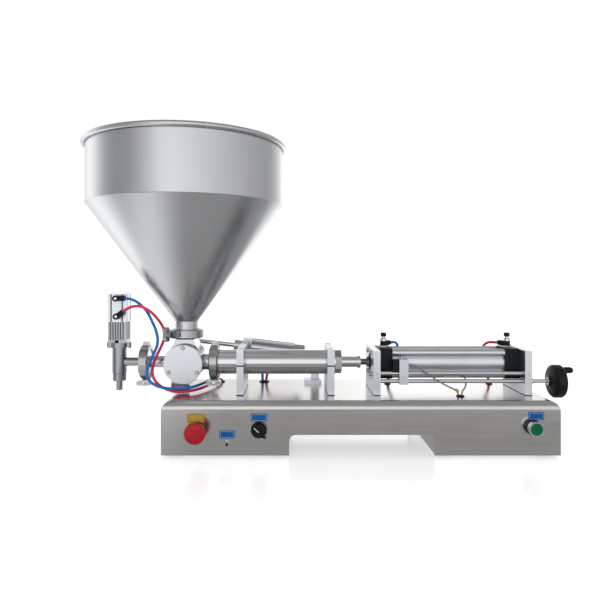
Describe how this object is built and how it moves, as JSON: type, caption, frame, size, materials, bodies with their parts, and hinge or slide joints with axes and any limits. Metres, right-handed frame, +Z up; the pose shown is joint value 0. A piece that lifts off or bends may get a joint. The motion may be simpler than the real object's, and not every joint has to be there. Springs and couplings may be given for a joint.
{
  "type": "piston liquid filler",
  "caption": "Bench-top pneumatic piston filling machine with a conical hopper, rotary valve, clamped product cylinder, air cylinder drive, drip nozzle and a control cabinet base.",
  "frame": {"origin": "on the bench, under the centre of the base cabinet's footprint", "axes": "+X along the machine from the nozzle to the handwheel, +Y from the operator's side to the back, +Z up"},
  "size_m": [0.9955, 0.4189, 0.617],
  "materials": {
    "cabinet_steel": "bright brushed stainless sheet",
    "hopper_steel": "satin spun stainless",
    "machined_steel": "fine-turned stainless",
    "cast_clamp": "cast and tumbled stainless",
    "polished_steel": "polished stainless",
    "bright_chrome": "hard chrome",
    "satin_aluminium": "bead-blasted anodised",
    "nickel_brass": "nickel plated",
    "black_caps": "satin black",
    "black_plastic": "satin moulded",
    "red_plastic": "gloss",
    "green_plastic": "gloss",
    "amber_plastic": "clear amber tint",
    "white_seal": "waxy white",
    "black_rubber": "matt",
    "blue_hose": "gloss tube",
    "red_hose": "gloss tube",
    "grey_cable": "satin sheath"
  },
  "bodies": {
    "machine_frame": {"base_cabinet": "cabinet_steel", "bottom_covers": "cabinet_steel", "rubber_feet": "black_rubber", "air_control_valve": "satin_aluminium", "air_inlet": "nickel_brass", "grommets": "black_rubber", "panel_collars": "black_plastic", "start_bezel": "bright_chrome", "pedal_socket": "bright_chrome", "valve_pedestal": "machined_steel", "valve_body": "machined_steel", "valve_cover": "machined_steel", "hopper": "hopper_steel", "tri_clamps": "cast_clamp", "clamp_screws": "cast_clamp", "clamp_gaskets": "white_seal", "material_tube": "polished_steel", "tube_end_nut": "polished_steel", "support_feet": "satin_aluminium", "support_caps": "satin_aluminium", "socket_screws": "polished_steel", "cylinder_plates": "satin_aluminium", "front_cap": "black_caps", "rear_cap": "black_caps", "cylinder_barrel": "satin_aluminium", "guide_rod": "polished_steel", "fixed_sensor": "amber_plastic", "air_fittings": "black_plastic", "nozzle_body": "polished_steel", "nozzle_housing": "satin_aluminium", "nozzle_air_cylinder": "satin_aluminium", "actuator_bracket": "satin_aluminium", "nozzle_hose_blue": "blue_hose", "nozzle_hose_red": "red_hose", "actuator_hose_blue": "blue_hose", "actuator_hose_red": "red_hose", "cylinder_hose_blue": "blue_hose", "cylinder_hose_red": "red_hose", "carriage_cable": "grey_cable", "fixed_cable": "grey_cable"},
    "piston_drive": {"material_piston": "white_seal", "piston_rod": "polished_steel", "rod_coupling": "polished_steel", "air_piston_rod": "bright_chrome"},
    "valve_spindle": {"valve_rotor": "machined_steel", "valve_crank": "machined_steel"},
    "actuator": {"actuator_barrel": "satin_aluminium"},
    "actuator_ram": {"actuator_rod": "polished_steel"},
    "nozzle_needle": {"nozzle_stem": "polished_steel"},
    "estop_plunger": {"estop_stem": "black_plastic"},
    "estop_head": {"estop_button": "red_plastic"},
    "start_plunger": {"start_button": "green_plastic"},
    "selector": {"selector_knob": "black_plastic"},
    "stroke_handwheel": {"handwheel": "black_plastic", "lead_screw": "polished_steel"},
    "wheel_grip": {"handwheel_grip": "black_plastic"},
    "switch_carriage": {"sensor_carriage": "satin_aluminium", "carriage_sensor": "black_plastic"},
    "left_needle_valve": {"left_speed_knob": "black_plastic"},
    "right_needle_valve": {"right_speed_knob": "black_plastic"}
  },
  "joints": [
    {"name": "piston_stroke", "type": "slide", "parent": "machine_frame", "child": "piston_drive", "axis": [-1, 0, 0], "range_m": [0, 0.2]},
    {"name": "valve_turn", "type": "hinge", "parent": "machine_frame", "child": "valve_spindle", "pos_m": [-0.353, 0, 0.165], "axis": [0, 1, 0], "range_deg": [0, 60]},
    {"name": "actuator_swing", "type": "hinge", "parent": "machine_frame", "child": "actuator", "pos_m": [-0.08, 0.075, 0.168], "axis": [0, 1, 0], "range_deg": [0, 1.18], "deforming": ["actuator_hose_blue", "actuator_hose_red"]},
    {"name": "actuator_rod_slide", "type": "slide", "parent": "actuator", "child": "actuator_ram", "axis": [0.993, 0, -0.1182], "range_m": [0, 0.0437]},
    {"name": "nozzle_shutoff", "type": "slide", "parent": "machine_frame", "child": "nozzle_needle", "axis": [0, 0, -1], "range_m": [0, 0.012]},
    {"name": "estop_push", "type": "slide", "parent": "machine_frame", "child": "estop_plunger", "axis": [0, 1, 0], "range_m": [0, 0.005]},
    {"name": "estop_twist", "type": "hinge", "parent": "estop_plunger", "child": "estop_head", "pos_m": [-0.311, -0.15, 0.053], "axis": [0, 1, 0], "range_deg": [0, 45], "stiffness_Nm_per_rad": 0.04},
    {"name": "start_push", "type": "slide", "parent": "machine_frame", "child": "start_plunger", "axis": [0, 1, 0], "range_m": [0, 0.003], "stiffness_N_per_m": 700},
    {"name": "selector_turn", "type": "hinge", "parent": "machine_frame", "child": "selector", "pos_m": [-0.1935, -0.14, 0.054], "axis": [0, 1, 0], "range_deg": [0, 90]},
    {"name": "handwheel_turn", "type": "hinge", "parent": "machine_frame", "child": "stroke_handwheel", "pos_m": [0.399, -0.055, 0.1325], "axis": [1, 0, 0], "range_deg": [-720, 8280]},
    {"name": "grip_spin", "type": "hinge", "parent": "stroke_handwheel", "child": "wheel_grip", "pos_m": [0.424, -0.061, 0.1555], "axis": [1, 0, 0], "continuous": true},
    {"name": "carriage_travel", "type": "slide", "parent": "machine_frame", "child": "switch_carriage", "axis": [1, 0, 0], "range_m": [-0.0161, 0.1841], "deforming": ["carriage_cable"]},
    {"name": "left_speed_turn", "type": "hinge", "parent": "machine_frame", "child": "left_needle_valve", "pos_m": [0.061, -0.01, 0.22], "axis": [0, 0, 1], "range_deg": [-1080, 1800]},
    {"name": "right_speed_turn", "type": "hinge", "parent": "machine_frame", "child": "right_needle_valve", "pos_m": [0.32, -0.01, 0.22], "axis": [0, 0, 1], "range_deg": [-1080, 1800]}
  ],
  "couplings": [
    {"joint": "actuator_swing", "follows": "valve_turn", "ratio": 0.019592},
    {"joint": "actuator_rod_slide", "follows": "valve_turn", "m_per_rad": 0.041672},
    {"joint": "carriage_travel", "follows": "handwheel_turn", "m_per_rad": 0.0012732}
  ]
}
